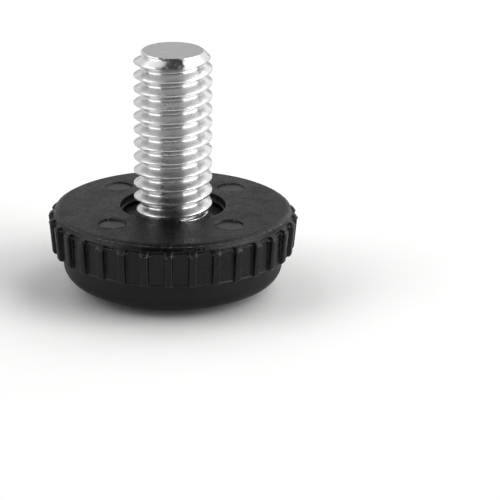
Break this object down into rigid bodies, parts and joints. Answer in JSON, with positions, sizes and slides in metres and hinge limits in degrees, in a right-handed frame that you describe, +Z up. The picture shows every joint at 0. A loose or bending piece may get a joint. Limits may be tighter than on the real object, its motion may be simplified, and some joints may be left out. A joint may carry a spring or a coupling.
{
  "type": "furniture leveling foot",
  "caption": "Leveling foot: a threaded stud held by its hex head in a small round black foot with a ribbed rim; the stud tilts slightly.",
  "frame": {"origin": "centre of the sole's flat, on the floor", "axes": "+Z up along the stud's axis; +X through one of the ribs, midway between two of the four posts"},
  "size_m": [0.0252, 0.0252, 0.0248],
  "materials": {
    "plated_steel": "bright nickel plating",
    "black_cap": "moulded, fine grain",
    "black_body": "moulded, smooth"
  },
  "bodies": {
    "foot": {"foot_body": "black_body", "ribbed_cap": "black_cap"},
    "stud": {"threaded_stud": "plated_steel"}
  },
  "joints": [
    {"name": "stud_tilt", "type": "hinge", "parent": "foot", "child": "stud", "pos_m": [0, 0, 0.00214], "axis": [0, 1, 0], "range_deg": [-3, 3]}
  ]
}
